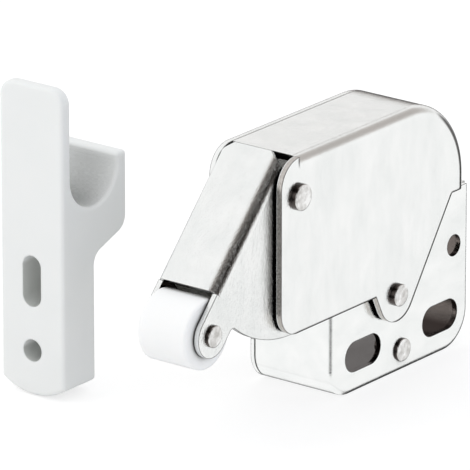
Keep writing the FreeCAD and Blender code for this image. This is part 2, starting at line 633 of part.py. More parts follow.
def make_cam():
    ring = tube(ARM_AXIS, CAM_OUTER_RADIUS, CAM_INNER_RADIUS, ARM_FAR_INNER_X, CAM_FACE_X)
    block = ring.common(angle_wedge(CAM_REAR_ANGLE, CAM_FRONT_ANGLE, ARM_FAR_INNER_X, CAM_FACE_X))
    wall_line = WALL_OFFSET - ARM_SHEET - CAM_WALL_CLEARANCE
    in_front = [
        on_wall(wall_line, BEYOND) + (0,),
        on_wall(BEYOND, BEYOND) + (0,),
        on_wall(BEYOND, -BEYOND) + (0,),
        on_wall(wall_line, -BEYOND) + (0,),
    ]
    block = block.cut(slab(in_front, ARM_FAR_INNER_X - 1, CAM_FACE_X + 1))
    # inside the bend the block's corner clears the sheet
    bend_line = WALL_OFFSET - ARM_FAR_BEND - CAM_WALL_CLEARANCE
    chamfer = [
        on_wall(bend_line, BEYOND) + (0,),
        on_wall(BEYOND, BEYOND) + (0,),
        on_wall(BEYOND, -BEYOND) + (0,),
        on_wall(bend_line, -BEYOND) + (0,),
    ]
    block = block.cut(slab(chamfer, ARM_FAR_INNER_X - 1, ARM_FAR_INNER_X + ARM_FAR_BEND - ARM_SHEET))

    x_top = CAM_FACE_X + 1
    end_angle = HELD_ANGLE + OVER_TRAVEL
    cuts = [
        tube(ARM_AXIS, LANE_OUTER + LANE_HALF, LANE_OUTER - LANE_HALF, CAM_FLOOR_X, x_top).common(
            angle_wedge(0, end_angle, CAM_FLOOR_X, x_top)),
        tube(ARM_AXIS, LANE_INNER + LANE_HALF, LANE_INNER - LANE_HALF, CAM_FLOOR_X, x_top).common(
            angle_wedge(tip_angle(LANE_INNER), end_angle + tip_angle(LANE_INNER), CAM_FLOOR_X, x_top)),
    ]
    # at both ends the tip crosses from one lane to the other along its own arc
    for angle in (0, end_angle):
        far_hinge = below_arm(*hinge_place(angle))
        reach = wire_reach()
        cross = tube(far_hinge, reach + LANE_HALF, reach - LANE_HALF, CAM_FLOOR_X, x_top)
        lanes = tube(ARM_AXIS, LANE_OUTER, LANE_INNER, CAM_FLOOR_X, x_top)
        cross = cross.common(lanes).common(angle_wedge(angle - 30, angle + 30, CAM_FLOOR_X, x_top))
        cuts.append(cross)
        for radius in (LANE_OUTER, LANE_INNER):
            place = below_arm(radius, angle + tip_angle(radius))
            cuts.append(round_bar(place, LANE_HALF, CAM_FLOOR_X, x_top))
    # the seat in the island's end that holds the tip while the arm is in
    middle = (LANE_OUTER + LANE_INNER) / 2
    for angle in (HELD_ANGLE, HELD_ANGLE + OVER_TRAVEL / 2):
        place = below_arm(middle, angle + tip_angle(middle))
        cuts.append(round_bar(place, LANE_HALF, CAM_FLOOR_X, x_top))
    block = block.cut(cuts)
    pegs = [round_bar(place, PEG_RADIUS, ARM_FAR_X, ARM_FAR_INNER_X) for place in peg_places()]
    return block.multiFuse(pegs).removeSplitter()


def swept(edges, radius):
    """Round wire along a path of edges that join smoothly."""
    path = Part.Wire(edges)
    start = edges[0].valueAt(edges[0].FirstParameter)
    heading = edges[0].tangentAt(edges[0].FirstParameter)
    profile = Part.Wire(Part.makeCircle(radius, start, heading))
    return path.makePipeShell([profile], True, True)


def make_follower():
    """Wire lever: an eye round the spacer, a straight arm and a tip that stands in the cam's lane."""
    eye_radius = SPACER_RADIUS + RUNNING_CLEARANCE + WIRE_RADIUS
    tip = below_arm(LANE_OUTER, 0)
    dy = tip[0] - CASE_AXIS[0]
    dz = tip[1] - CASE_AXIS[1]
    distance = wire_reach()
    # the arm leaves the eye's upper side along the common tangent
    leave = math.atan2(dz, dy) - math.acos(eye_radius / distance)

    def on_eye(angle):
        return V(WIRE_X, CASE_AXIS[0] + eye_radius * math.cos(angle), CASE_AXIS[1] + eye_radius * math.sin(angle))

    wrap = math.radians(EYE_WRAP)
    eye = Part.Arc(on_eye(leave - wrap), on_eye(leave - wrap / 2), on_eye(leave)).toShape()
    tip_point = V(WIRE_X, tip[0], tip[1])
    heading = (tip_point - on_eye(leave)).normalize()
    down = V(-1, 0, 0)
    bend_start = tip_point - heading * WIRE_BEND
    bend_end = tip_point + down * WIRE_BEND
    bend_mid = tip_point + (down - heading).normalize() * WIRE_BEND * (math.sqrt(2) - 1)
    tip_end = V(CAM_FLOOR_X + LANE_CLEARANCE, tip[0], tip[1])
    edges = [
        eye,
        Part.makeLine(on_eye(leave), bend_start),
        Part.Arc(bend_start, bend_mid, bend_end).toShape(),
        Part.makeLine(bend_end, tip_end),
    ]
    return swept(edges, WIRE_RADIUS)


def coil(axis, radius, wire, turns, pitch, x_start, start_angle):
    """Helix of round wire about an X axis, from an angle measured from +Y towards +Z."""
    helix = Part.makeHelix(pitch, turns * pitch, radius)
    profile = Part.Wire(Part.makeCircle(wire / 2, V(radius, 0, 0), V(0, 1, 0)))
    body = Part.Wire(helix.Edges).makePipeShell([profile], True, True)
    # the helix is made about Z from +X; turning it puts its axis on X and its start on +Y
    turn = FreeCAD.Placement(FreeCAD.Matrix(0, 0, 1, x_start, 1, 0, 0, axis[0], 0, 1, 0, axis[1], 0, 0, 0, 1))
    body.Placement = FreeCAD.Placement(
        turn.Base, FreeCAD.Rotation(V(1, 0, 0), math.degrees(start_angle)).multiply(turn.Rotation))
    return body


def round_leg(start, end, wire):
    """Straight wire from one point to another."""
    run = end - start
    return Part.makeCylinder(wire / 2, run.Length, start, run)


def make_arm_spring():
    """Torsion spring on the arm's sleeve: one leg on the arm's wall, one under the case's roof."""
    wire = ARM_SPRING_WIRE
    radius = ARM_SLEEVE_RADIUS + COIL_CLEARANCE + wire / 2
    x_near = ARM_NEAR_INNER_X - COIL_CLEARANCE - wire / 2
    x_far = x_near - ARM_SPRING_TURNS * ARM_SPRING_PITCH
    # rear leg: leaves the top of the far turn and ends under the roof
    end_z = CASE_TOP_Z - CASE_SHEET - SPRING_REST_GAP - wire / 2
    end_y = ARM_AXIS[0] + REAR_LEG_REACH
    rise = math.atan2(end_z - ARM_AXIS[1], end_y - ARM_AXIS[0])
    gap = math.hypot(end_z - ARM_AXIS[1], end_y - ARM_AXIS[0])
    rear_angle = rise + math.acos(radius / gap)
    rear_start = V(
        x_far, ARM_AXIS[0] + radius * math.cos(rear_angle), ARM_AXIS[1] + radius * math.sin(rear_angle))
    rear = round_leg(rear_start, V(x_far, end_y, end_z), wire)
    # front leg: leaves the near turn and ends on the arm's wall
    end = on_wall(WALL_OFFSET - ARM_SHEET - SPRING_REST_GAP - wire / 2, -FRONT_LEG_BELOW_AXIS)
    dy = end[0] - ARM_AXIS[0]
    dz = end[1] - ARM_AXIS[1]
    front_angle = math.atan2(dz, dy) - math.acos(radius / math.hypot(dy, dz))
    front_start = V(
        x_near, ARM_AXIS[0] + radius * math.cos(front_angle), ARM_AXIS[1] + radius * math.sin(front_angle))
    front = round_leg(front_start, V(x_near, end[0], end[1]), wire)
    part_turn = ((front_angle - rear_angle) / (2 * math.pi)) % 1.0
    turns = ARM_SPRING_TURNS - 1 + part_turn
    pitch = (x_near - x_far) / turns
    body = coil(ARM_AXIS, radius, wire, turns, pitch, x_far, rear_angle)
    return body.multiFuse([rear, front])


def make_follower_spring():
    """Small torsion spring on the spacer: it bears on the anchor and presses the wire down."""
    wire = SMALL_SPRING_WIRE
    radius = SPACER_RADIUS + COIL_CLEARANCE + wire / 2
    x_low, x_high = small_spring_x()
    # lower leg: ends against the rear side of the anchor
    reach = ANCHOR_RADIUS + SPRING_REST_GAP + wire / 2
    end = (ANCHOR_AXIS[0] + reach, ANCHOR_AXIS[1])
    dy = end[0] - CASE_AXIS[0]
    dz = end[1] - CASE_AXIS[1]
    low_angle = math.atan2(dz, dy) + math.acos(radius / math.hypot(dy, dz))
    low_start = V(
        x_low, CASE_AXIS[0] + radius * math.cos(low_angle), CASE_AXIS[1] + radius * math.sin(low_angle))
    lower = round_leg(low_start, V(x_low, end[0], end[1]), wire)
    # upper leg: lies over the wire's arm, then hooks down across it
    tip = below_arm(LANE_OUTER, 0)
    slope = math.atan2(tip[1] - CASE_AXIS[1], tip[0] - CASE_AXIS[0])
    eye_radius = SPACER_RADIUS + RUNNING_CLEARANCE + WIRE_RADIUS
    wire_angle = slope - math.acos(eye_radius / math.hypot(tip[0] - CASE_AXIS[0], tip[1] - CASE_AXIS[1]))
    along = (math.cos(wire_angle + math.pi / 2), math.sin(wire_angle + math.pi / 2))
    square = (math.cos(wire_angle), math.sin(wire_angle))
    lift = eye_radius + WIRE_RADIUS + SPRING_REST_GAP + wire / 2
    hook_y = CASE_AXIS[0] + square[0] * lift + along[0] * HOOK_REACH
    hook_z = CASE_AXIS[1] + square[1] * lift + along[1] * HOOK_REACH
    up_dy = hook_y - CASE_AXIS[0]
    up_dz = hook_z - CASE_AXIS[1]
    up_angle = math.atan2(up_dz, up_dy) - math.acos(radius / math.hypot(up_dy, up_dz))
    up_start = V(
        x_high, CASE_AXIS[0] + radius * math.cos(up_angle), CASE_AXIS[1] + radius * math.sin(up_angle))
    corner = V(x_high, hook_y, hook_z)
    heading = (corner - up_start).normalize()
    across = V(-1, 0, 0)
    bend_start = corner - heading * wire
    bend_end = corner + across * wire
    bend_mid = corner + (across - heading).normalize() * wire * (math.sqrt(2) - 1)
    upper = swept([
        Part.makeLine(up_start, bend_start),
        Part.Arc(bend_start, bend_mid, bend_end).toShape(),
        Part.makeLine(bend_end, V(WIRE_X - WIRE_RADIUS, hook_y, hook_z)),
    ], wire / 2)
    part_turn = ((up_angle - low_angle) / (2 * math.pi)) % 1.0
    turns = SMALL_SPRING_TURNS - 1 + part_turn
    body = coil(CASE_AXIS, radius, wire, turns, (x_high - x_low) / turns, x_low, low_angle)
    return body.multiFuse([lower, upper])


def make_strike():
    """Moulded strike: face plate with a slot and a hole, and a hooked groove for the roller."""
    x_high = STRIKE_NEAR_X
    x_low = x_high - STRIKE_WIDTH
    y0 = STRIKE_FACE_Y
    groove_radius = ROLLER_RADIUS + GROOVE_CLEARANCE
    plate_y = y0 + STRIKE_PLATE
    lip_y = plate_y + 2 * groove_radius
    hook_y = lip_y + STRIKE_LIP
    groove_bottom = GROOVE_Z - groove_radius
    profile = [
        (y0, 0, 0),
        (y0 + STRIKE_BODY_DEPTH, 0, 0),
        (y0 + STRIKE_BODY_DEPTH, STRIKE_BODY_TOP, STRIKE_KNEE_ROUND),
        (hook_y, STRIKE_BODY_TOP + STRIKE_HOOK_RISE, STRIKE_HOOK_ROUND),
        (hook_y, STRIKE_LIP_TOP, 0),
        (lip_y, STRIKE_LIP_TOP, 0),
        (lip_y, groove_bottom, groove_radius),
        (plate_y, groove_bottom, groove_radius),
        (plate_y, STRIKE_HEIGHT, 0),
        (y0, STRIKE_HEIGHT, 0),
    ]
    body = slab(profile, x_low, x_high)
    # front view of the face: rounded top corners and a shallow arc for a foot
    middle = (x_low + x_high) / 2
    r = STRIKE_TOP_CORNER
    depth = hook_y - y0 + 2 * STRIKE_EDGE
    c45 = r * (1 - math.sqrt(0.5))
    y = y0 - STRIKE_EDGE
    top = STRIKE_HEIGHT
    foot = STRIKE_FOOT_SAGITTA
    outline = [
        Part.Arc(V(x_low, y, foot), V(middle, y, 0), V(x_high, y, foot)).toShape(),
        Part.makeLine(V(x_high, y, foot), V(x_high, y, top - r)),
        Part.Arc(V(x_high, y, top - r), V(x_high - c45, y, top - c45), V(x_high - r, y, top)).toShape(),
        Part.makeLine(V(x_high - r, y, top), V(x_low + r, y, top)),
        Part.Arc(V(x_low + r, y, top), V(x_low + c45, y, top - c45), V(x_low, y, top - r)).toShape(),
        Part.makeLine(V(x_low, y, top - r), V(x_low, y, foot)),
    ]
    body = body.common(Part.Face(Part.Wire(outline)).extrude(V(0, depth, 0)))
    body = body.makeFillet(STRIKE_EDGE, body.Edges)

    hole = Part.makeCylinder(STRIKE_HOLE_RADIUS, depth, V(middle, y, STRIKE_HOLE_Z), V(0, 1, 0))
    run = STRIKE_SLOT_LENGTH / 2 - STRIKE_HOLE_RADIUS
    slot = Part.makeBox(
        2 * STRIKE_HOLE_RADIUS, depth, 2 * run, V(middle - STRIKE_HOLE_RADIUS, y, STRIKE_SLOT_Z - run))
    slot_ends = [
        Part.makeCylinder(STRIKE_HOLE_RADIUS, depth, V(middle, y, STRIKE_SLOT_Z + side * run), V(0, 1, 0))
        for side in (-1, 1)
    ]
    return body.cut([hole, slot] + slot_ends)


PIECES = {
    "mounting_bracket": make_bracket,
    "case_shell": make_case,
    "case_cover": make_cover,
    "case_rivet": make_case_pin,
    "case_collar": make_collar,
    "spacer_sleeve": make_spacer,
    "anchor_rivet": make_anchor,
    "arm_pin": make_arm_pin,
    "arm_sleeve": make_arm_sleeve,
    "arm_washer": make_washer,
    "arm_spring": make_arm_spring,
    "roller_arm": make_arm,
    "roller_pin": make_roller_pin,
    "roller": make_roller,
    "heart_cam": make_cam,
    "follower_wire": make_follower,
    "follower_spring": make_follower_spring,
    "strike": make_strike,
}

os.makedirs("parts", exist_ok=True)
for name, make in PIECES.items():
    shape = make()
    shape.exportStep("parts/" + name + ".step")
    box = shape.BoundBox
    print(
        name, "solids", len(shape.Solids), "valid", shape.isValid(), "volume", round(shape.Volume, 2),
        "x", round(box.XMin, 2), round(box.XMax, 2), "y", round(box.YMin, 2), round(box.YMax, 2),
        "z", round(box.ZMin, 2), round(box.ZMax, 2))
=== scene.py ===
import math

import bpy
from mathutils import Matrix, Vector


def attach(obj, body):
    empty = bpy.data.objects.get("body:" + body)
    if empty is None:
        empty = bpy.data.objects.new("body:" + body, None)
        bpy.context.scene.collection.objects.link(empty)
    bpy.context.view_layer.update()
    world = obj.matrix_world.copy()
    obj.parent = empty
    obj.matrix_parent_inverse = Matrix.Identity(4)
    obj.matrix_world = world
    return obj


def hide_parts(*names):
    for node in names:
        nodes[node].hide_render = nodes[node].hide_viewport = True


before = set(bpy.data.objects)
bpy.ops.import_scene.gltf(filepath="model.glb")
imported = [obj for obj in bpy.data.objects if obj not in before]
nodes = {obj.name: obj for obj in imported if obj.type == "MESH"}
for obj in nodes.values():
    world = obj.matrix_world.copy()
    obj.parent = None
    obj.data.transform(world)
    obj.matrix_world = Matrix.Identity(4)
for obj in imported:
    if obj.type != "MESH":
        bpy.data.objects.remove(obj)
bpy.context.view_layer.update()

MM = 0.001
X_AXIS, Y_AXIS, Z_AXIS = 0, 1, 2
scene = bpy.context.scene


def linear(hex_colour):
    """sRGB hex to a linear RGBA tuple."""
    channels = [int(hex_colour[i:i + 2], 16) / 255 for i in (1, 3, 5)]
    return tuple(c / 12.92 if c <= 0.04045 else ((c + 0.055) / 1.055) ** 2.4 for c in channels) + (1.0,)


def add(tree, kind, inputs=None, **settings):
    """Adds a node with its settings. Each input is a socket to link, an sRGB hex or a constant."""
    node = tree.nodes.new(kind)
    for key, value in settings.items():
        setattr(node, key, value)
    for key, value in (inputs or {}).items():
        if isinstance(value, bpy.types.NodeSocket):
            tree.links.new(value, node.inputs[key])
        elif isinstance(value, str):
            node.inputs[key].default_value = linear(value)
        else:
            node.inputs[key].default_value = value
    return node


def new_material(name):
    """A material with its tree, its shader, and the place and direction of a face on the piece itself."""
    material = bpy.data.materials.new(name)
    material.use_nodes = True
    tree = material.node_tree
    coordinates = add(tree, "ShaderNodeTexCoord").outputs
    return material, tree, tree.nodes["Principled BSDF"], coordinates["Object"], coordinates["Normal"]


def per_metre(size_mm):
    """Scale of a texture whose features are this many millimetres across."""
    return 1 / (size_mm * MM)


# Painted shade in gaps, in hollows and along edges, and the faces it goes on

OCCLUSION_SHADE = "#1c1a19"        # painted shade in the gaps and recesses
EDGE_SHADE = "#2b2624"      # painted shade in a thin line along every sharp edge and along a slanted cut
HEAD_SIDE_SHADE = "#57504d"      # painted shade on the side of a rivet's head
EDGE_MM = 0.2
RIM_MM = 0.15
NYLON_EDGE_MM = 0.35
SOFT_SAMPLES = 8
RIM_SAMPLES = 6
EDGEWISE_BELOW = 0.5     # how much of its direction a wall or a cut has along X at most
# how far a recess or a crevice reaches, and how open it is where its painted shade is black and where it
# has none
RECESS = (9.0, 0.12, 0.55)
CREVICE = (0.8, 0.15, 0.55)
HEAD_CREVICE = (0.8, 0.25, 0.95)


def painted_shade(tree, colour, shade_tone, reach_mm, black_below, unshaded_above, own_only=False):
    """A colour with painted shade: it turns dark where other faces lie closer than a reach."""
    openness = add(tree, "ShaderNodeAmbientOcclusion", {"Distance": reach_mm * MM},
                   samples=SOFT_SAMPLES, inside=False, only_local=own_only).outputs["AO"]
    unshaded = add(tree, "ShaderNodeMapRange",
                {"Value": openness, "From Min": black_below, "From Max": unshaded_above},
                interpolation_type="SMOOTHSTEP").outputs[0]
    # faces that look down at the floor get no painted shade from it
    world_normal = add(tree, "ShaderNodeNewGeometry").outputs["Normal"]
    upwards = add(tree, "ShaderNodeSeparateXYZ", {0: world_normal}).outputs["Z"]
    underside = add(tree, "ShaderNodeMapRange",
                    {"Value": upwards, "From Min": -0.05, "From Max": -0.4}).outputs[0]
    unshaded = add(tree, "ShaderNodeMath", {0: unshaded, 1: underside}, operation="MAXIMUM").outputs[0]
    return add(tree, "ShaderNodeMix", {"Factor": unshaded, "A": shade_tone, "B": colour},
               data_type="RGBA").outputs["Result"]


def edge_lined(tree, colour, rounded, starts=0.97, full=0.86):
    """A colour with a thin line of painted shade on both sides of every sharp edge, where the bevel turns
    the face.
    """
    flat = add(tree, "ShaderNodeNewGeometry").outputs["Normal"]
    turn = add(tree, "ShaderNodeVectorMath", {0: rounded, 1: flat}, operation="DOT_PRODUCT")
    line = add(tree, "ShaderNodeMapRange",
               {"Value": turn.outputs["Value"], "From Min": starts, "From Max": full}).outputs[0]
    return add(tree, "ShaderNodeMix", {"Factor": line, "A": colour, "B": EDGE_SHADE},
               data_type="RGBA").outputs["Result"]


def shaded_rim(tree, colour, facing, side, rim_mm):
    """A colour with a dark rim of painted shade on the near face, along the cut that looks to one side.

    It darkens the face where it rounds over into that cut."""
    rounded = add(tree, "ShaderNodeBevel", {"Radius": rim_mm * MM}, samples=SOFT_SAMPLES).outputs[0]
    lean = add(tree, "ShaderNodeVectorMath", {0: rounded, 1: Vector(side).normalized()},
               operation="DOT_PRODUCT").outputs["Value"]
    leaning = add(tree, "ShaderNodeMapRange", {"Value": lean, "From Min": 0.03, "From Max": 0.13},
                  interpolation_type="SMOOTHSTEP").outputs[0]
    near = add(tree, "ShaderNodeSeparateXYZ", {0: facing}).outputs["X"]
    near = add(tree, "ShaderNodeMapRange", {"Value": near, "From Min": 0.6, "From Max": 0.9},
               interpolation_type="SMOOTHSTEP").outputs[0]
    rim = add(tree, "ShaderNodeMath", {0: leaning, 1: near}, operation="MULTIPLY").outputs[0]
    return add(tree, "ShaderNodeMix", {"Factor": rim, "A": colour, "B": EDGE_SHADE},
               data_type="RGBA").outputs["Result"]


def edgewise(tree, facing):
    """1 on faces that don't look along X, which are walls and cuts of the plates, 0 on their flats."""
    across = add(tree, "ShaderNodeSeparateXYZ", {0: facing}).outputs["X"]
    across = add(tree, "ShaderNodeMath", {0: across}, operation="ABSOLUTE").outputs[0]
    return add(tree, "ShaderNodeMath", {0: across, 1: EDGEWISE_BELOW}, operation="LESS_THAN").outputs[0]


def cut_faces(tree, place, facing, low_mm, high_mm):
    """1 on faces across the sheet's thickness, inside a box."""
    inside = edgewise(tree, facing)
    axes = add(tree, "ShaderNodeSeparateXYZ", {0: place}).outputs
    for axis in (X_AXIS, Y_AXIS, Z_AXIS):
        for limit, side in ((low_mm[axis], "GREATER_THAN"), (high_mm[axis], "LESS_THAN")):
            test = add(tree, "ShaderNodeMath", {0: axes[axis], 1: limit * MM}, operation=side).outputs[0]
            inside = add(tree, "ShaderNodeMath", {0: inside, 1: test}, operation="MULTIPLY").outputs[0]
    return inside


def inner_faces(tree, place, facing, centre_mm):
    """1 on faces that look towards a point inside a hollow, 0 on its outer faces."""
    outward = add(tree, "ShaderNodeVectorMath", {0: place, 1: Vector(centre_mm) * MM},
                  operation="SUBTRACT").outputs[0]
    turn = add(tree, "ShaderNodeVectorMath", {0: outward, 1: facing}, operation="DOT_PRODUCT")
    return add(tree, "ShaderNodeMath", {0: turn.outputs["Value"], 1: 0.0},
               operation="LESS_THAN").outputs[0]


def pan_shade(tree, place, facing, centre_mm, rim_mm, deep_mm, wall_shade, floor_shade):
    """Where the pan's inner walls get painted shade, and its colour: on walls below the rim, darkest on
    faces that look up.
    """
    inside = inner_faces(tree, place, facing, centre_mm)
    depth = add(tree, "ShaderNodeSeparateXYZ", {0: place}).outputs["X"]
    depth = add(tree, "ShaderNodeMapRange",
                {"Value": depth, "From Min": rim_mm * MM, "From Max": deep_mm * MM},
                interpolation_type="SMOOTHSTEP").outputs[0]
    for share in (depth, edgewise(tree, facing)):
        inside = add(tree, "ShaderNodeMath", {0: inside, 1: share}, operation="MULTIPLY").outputs[0]
    upwards = add(tree, "ShaderNodeSeparateXYZ", {0: facing}).outputs["Z"]
    facing_up = add(tree, "ShaderNodeMapRange", {"Value": upwards, "From Min": 0.3, "From Max": 0.7},
                 interpolation_type="SMOOTHSTEP").outputs[0]
    hollow_shade = add(tree, "ShaderNodeMix", {"Factor": facing_up, "A": wall_shade, "B": floor_shade},
               data_type="RGBA").outputs["Result"]
    return inside, hollow_shade


# Finishes

GRAIN_MM = 0.16          # coarser than real rolling grain, which would be too fine to show
CLOUD_MM = 3.6
GRAIN_STRETCH = 0.45
GRAIN_SHINE = 0.67       # share of the roughness at the foot of the grain, twice that at its top
STAIN_TO_DENT = 2.2      # stains on a pin are this many times as wide as its dents


def plated_sheet(name, colour, shade, grain_axis, roughness, ripple_mm, ripple_depth_mm, grain_depth_mm,
                 cuts=(), line=(0.97, 0.86), rim_shade=None, hollow=None, pan=None):
    """Cold rolled steel sheet, pressed and then bright nickel plated.

    The plating keeps the faint grain of the rolled sheet and the soft ripple of the press, so the
    reflections of a white room break into pale streaks, and cut edges stay dark."""
    material, tree, shader, place, facing = new_material(name)
    stretch = [1.0, 1.0, 1.0]
    stretch[grain_axis] = GRAIN_STRETCH
    drawn_out = add(tree, "ShaderNodeMapping", {"Vector": place, "Scale": stretch}).outputs[0]
    grain = add(tree, "ShaderNodeTexNoise",
                {"Vector": drawn_out, "Scale": per_metre(GRAIN_MM), "Detail": 2.0, "Roughness": 0.6})
    cloud = add(tree, "ShaderNodeTexNoise",
                {"Vector": drawn_out, "Scale": per_metre(CLOUD_MM), "Detail": 4.0, "Roughness": 0.6})
    ripple = add(tree, "ShaderNodeTexNoise",
                 {"Vector": drawn_out, "Scale": per_metre(ripple_mm), "Detail": 2.0, "Roughness": 0.5})
    grain, cloud, ripple = (noise.outputs["Fac"] for noise in (grain, cloud, ripple))

    streaks = add(tree, "ShaderNodeMapRange", {"Value": cloud, "From Min": 0.33, "From Max": 0.67})
    surface = add(tree, "ShaderNodeMix", {"Factor": streaks.outputs[0], "A": shade, "B": colour},
                  data_type="RGBA").outputs["Result"]
    for low_mm, high_mm, light, dark in cuts:
        # a cut is half sheared smooth and half torn
        torn = add(tree, "ShaderNodeMix", {"Factor": grain, "A": dark, "B": light},
                   data_type="RGBA").outputs["Result"]
        share = cut_faces(tree, place, facing, low_mm, high_mm)
        surface = add(tree, "ShaderNodeMix", {"Factor": share, "A": surface, "B": torn},
                      data_type="RGBA").outputs["Result"]
    # painted shade in recesses and crevices
    for reach in (RECESS, CREVICE):
        surface = painted_shade(tree, surface, OCCLUSION_SHADE, *reach)
    # painted shade: the inner faces of a hollow are painted dull brown grey
    if hollow:
        centre_mm, hollow_shade = hollow
        inside = inner_faces(tree, place, facing, centre_mm)
    if pan:
        inside, hollow_shade = pan_shade(tree, place, facing, *pan)
    if hollow or pan:
        surface = add(tree, "ShaderNodeMix", {"Factor": inside, "A": surface, "B": hollow_shade},
                      data_type="RGBA").outputs["Result"]
    rounded = add(tree, "ShaderNodeBevel", {"Radius": EDGE_MM * MM}, samples=SOFT_SAMPLES).outputs[0]
    surface = edge_lined(tree, surface, rounded, *line)
    if rim_shade:
        surface = shaded_rim(tree, surface, facing, *rim_shade)
    tree.links.new(surface, shader.inputs["Base Color"])

    shine = add(tree, "ShaderNodeMapRange",
                {"Value": cloud, "From Min": 0.3, "From Max": 0.7,
                 "To Min": roughness * 1.25, "To Max": roughness * 0.8}).outputs[0]
    fine = add(tree, "ShaderNodeMath", {0: grain, 1: GRAIN_SHINE, 2: GRAIN_SHINE},
               operation="MULTIPLY_ADD").outputs[0]
    shine = add(tree, "ShaderNodeMath", {0: shine, 1: fine}, operation="MULTIPLY").outputs[0]
    tree.links.new(shine, shader.inputs["Roughness"])

    normal = rounded
    for height, depth_mm in ((ripple, ripple_depth_mm), (grain, grain_depth_mm)):
        normal = add(tree, "ShaderNodeBump",
                     {"Height": height, "Normal": normal, "Strength": 1.0,
                      "Distance": depth_mm * MM}).outputs[0]
    tree.links.new(normal, shader.inputs["Normal"])
    shader.inputs["Metallic"].default_value = 1.0
    return material


def tumbled_steel(name, colour, shade, roughness, dent_mm, dent_depth_mm):
    """Turned steel pins, nickel plated in a barrel.

    Tumbling leaves shallow dents all over the heads, so they sparkle in small light and dark spots."""
    material, tree, shader, place, facing = new_material(name)
    dents = add(tree, "ShaderNodeTexNoise",
                {"Vector": place, "Scale": per_metre(dent_mm), "Detail": 4.0, "Roughness": 0.6})
    stains = add(tree, "ShaderNodeTexNoise",
                 {"Vector": place, "Scale": per_metre(dent_mm * STAIN_TO_DENT), "Detail": 2.0,
                  "Roughness": 0.5})
    stained = add(tree, "ShaderNodeMapRange",
                  {"Value": stains.outputs["Fac"], "From Min": 0.35, "From Max": 0.65}).outputs[0]
    surface = add(tree, "ShaderNodeMix", {"Factor": stained, "A": shade, "B": colour},
                  data_type="RGBA").outputs["Result"]
    # painted shade: the side of a head is darker than its top
    axial = add(tree, "ShaderNodeSeparateXYZ", {0: facing}).outputs["X"]
    axial = add(tree, "ShaderNodeMath", {0: axial}, operation="ABSOLUTE").outputs[0]
    top = add(tree, "ShaderNodeMapRange", {"Value": axial, "From Min": 0.42, "From Max": 0.62},
              interpolation_type="SMOOTHSTEP").outputs[0]
    surface = add(tree, "ShaderNodeMix", {"Factor": top, "A": HEAD_SIDE_SHADE, "B": surface},
                  data_type="RGBA").outputs["Result"]
    surface = painted_shade(tree, surface, OCCLUSION_SHADE, *HEAD_CREVICE)
    rounded = add(tree, "ShaderNodeBevel", {"Radius": RIM_MM * MM}, samples=RIM_SAMPLES).outputs[0]
    tree.links.new(edge_lined(tree, surface, rounded), shader.inputs["Base Color"])
    bump = add(tree, "ShaderNodeBump", {"Height": dents.outputs["Fac"], "Normal": rounded,
                                        "Strength": 1.0, "Distance": dent_depth_mm * MM})
    tree.links.new(bump.outputs[0], shader.inputs["Normal"])
    shader.inputs["Metallic"].default_value = 1.0
    shader.inputs["Roughness"].default_value = roughness
    return material


def drawn_wire(name, colour, shade, roughness, line_mm, line_depth_mm):
    """Hard drawn spring wire, lightly oiled: darker than the plating, with fine draw lines."""
    material, tree, shader, place, _ = new_material(name)
    lines = add(tree, "ShaderNodeTexNoise",
                {"Vector": place, "Scale": per_metre(line_mm), "Detail": 2.0,
                 "Roughness": 0.5}).outputs["Fac"]
    surface = add(tree, "ShaderNodeMix", {"Factor": lines, "A": shade, "B": colour}, data_type="RGBA")
    tree.links.new(surface.outputs["Result"], shader.inputs["Base Color"])
    bump = add(tree, "ShaderNodeBump", {"Height": lines, "Strength": 0.5, "Distance": line_depth_mm * MM})
    tree.links.new(bump.outputs[0], shader.inputs["Normal"])
    shader.inputs["Metallic"].default_value = 1.0
    shader.inputs["Roughness"].default_value = roughness
    return material


NYLON_IOR = 1.53
NYLON_SKIN_MM = 0.18
NYLON_SKIN_DEPTH_MM = 0.008
NYLON_CLOUD_MM = 6.0
GROOVE_BLEND_MM = 1.0


